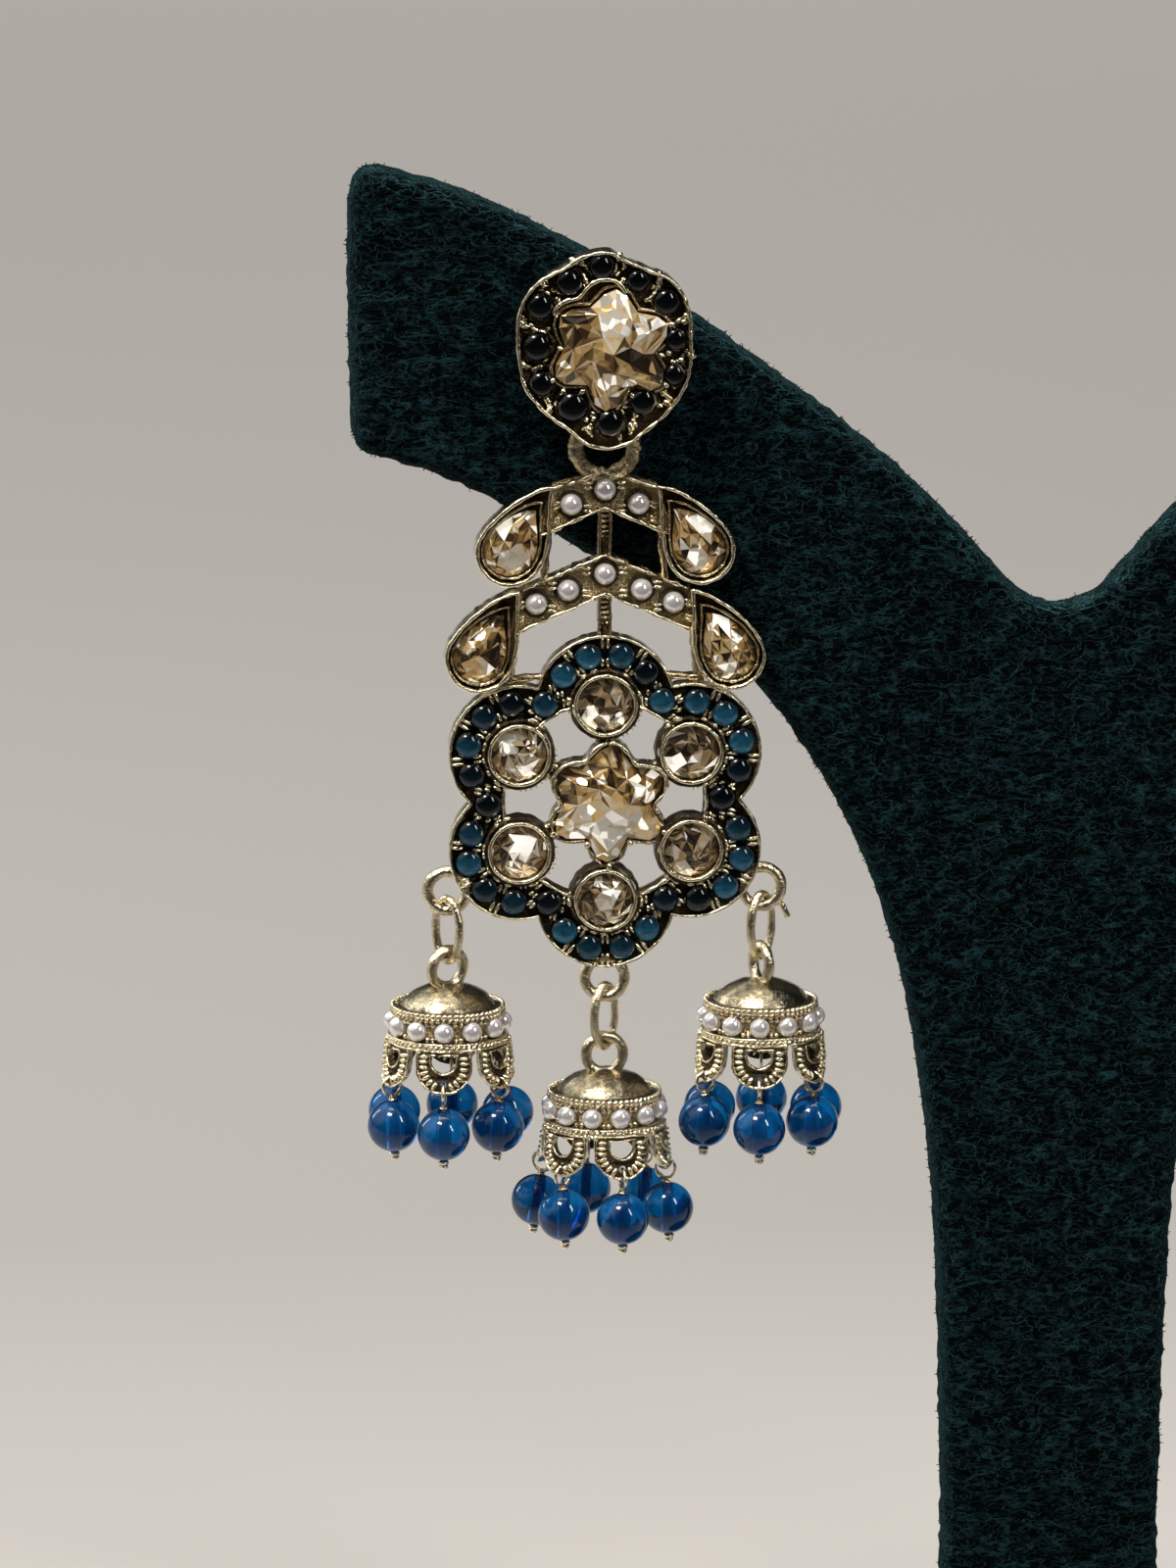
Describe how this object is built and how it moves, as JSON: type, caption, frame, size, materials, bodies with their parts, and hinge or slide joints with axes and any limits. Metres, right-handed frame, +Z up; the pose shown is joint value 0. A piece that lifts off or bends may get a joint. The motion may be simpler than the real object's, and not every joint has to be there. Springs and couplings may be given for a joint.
{
  "type": "jhumka earring on a y-shaped display stand",
  "caption": "Gold jhumka drop earring with a jewelled flower frame, little domed bells and blue glass beads, hung by its post on a suede-covered Y-shaped display stand.",
  "frame": {"origin": "centre of the stand's flat underside, on the table", "axes": "+Z up the stand, the front with the earring faces -Y, +X to the right seen from the front"},
  "size_m": [0.111, 0.056, 0.1371],
  "materials": {
    "antique_gold": "antiqued, polished on the raised edges",
    "champagne_crystal": "faceted and foil backed",
    "navy_stone": "opaque polished domes, some lit blue and some near black",
    "pearl": "pearl lustre",
    "blue_glass": "clear, polished",
    "suede": "fine nap with small creases"
  },
  "bodies": {
    "stand": {"stand_board": "suede", "stand_base": "suede", "stud": "antique_gold", "stud_star_stone": "champagne_crystal", "clutch": "antique_gold"},
    "drop": {"bead_centre_1": "blue_glass", "bead_centre_2": "blue_glass", "bead_centre_3": "blue_glass", "bead_centre_4": "blue_glass", "bead_centre_5": "blue_glass", "bead_centre_6": "blue_glass", "bead_left_1": "blue_glass", "bead_left_2": "blue_glass", "bead_left_3": "blue_glass", "bead_left_4": "blue_glass", "bead_left_5": "blue_glass", "bead_left_6": "blue_glass", "bead_right_1": "blue_glass", "bead_right_2": "blue_glass", "bead_right_3": "blue_glass", "bead_right_4": "blue_glass", "bead_right_5": "blue_glass", "bead_right_6": "blue_glass", "bell_centre": "antique_gold", "bell_left": "antique_gold", "bell_right": "antique_gold", "drop_frame": "antique_gold", "drop_star_stone": "champagne_crystal", "leaf_stone_lower_left": "champagne_crystal", "leaf_stone_lower_right": "champagne_crystal", "leaf_stone_upper_left": "champagne_crystal", "leaf_stone_upper_right": "champagne_crystal", "link_centre": "antique_gold", "link_left": "antique_gold", "link_right": "antique_gold", "pin_centre_1": "antique_gold", "pin_centre_2": "antique_gold", "pin_centre_3": "antique_gold", "pin_centre_4": "antique_gold", "pin_centre_5": "antique_gold", "pin_centre_6": "antique_gold", "pin_left_1": "antique_gold", "pin_left_2": "antique_gold", "pin_left_3": "antique_gold", "pin_left_4": "antique_gold", "pin_left_5": "antique_gold", "pin_left_6": "antique_gold", "pin_right_1": "antique_gold", "pin_right_2": "antique_gold", "pin_right_3": "antique_gold", "pin_right_4": "antique_gold", "pin_right_5": "antique_gold", "pin_right_6": "antique_gold", "round_stone_1": "champagne_crystal", "round_stone_2": "champagne_crystal", "round_stone_3": "champagne_crystal", "round_stone_4": "champagne_crystal", "round_stone_5": "champagne_crystal", "round_stone_6": "champagne_crystal"}
  },
  "joints": [
    {"name": "drop_swing", "type": "hinge", "parent": "stand", "child": "drop", "pos_m": [-0.036, -0.0047, 0.11818], "axis": [-1, 0, 0], "range_deg": [-2, 18]}
  ]
}
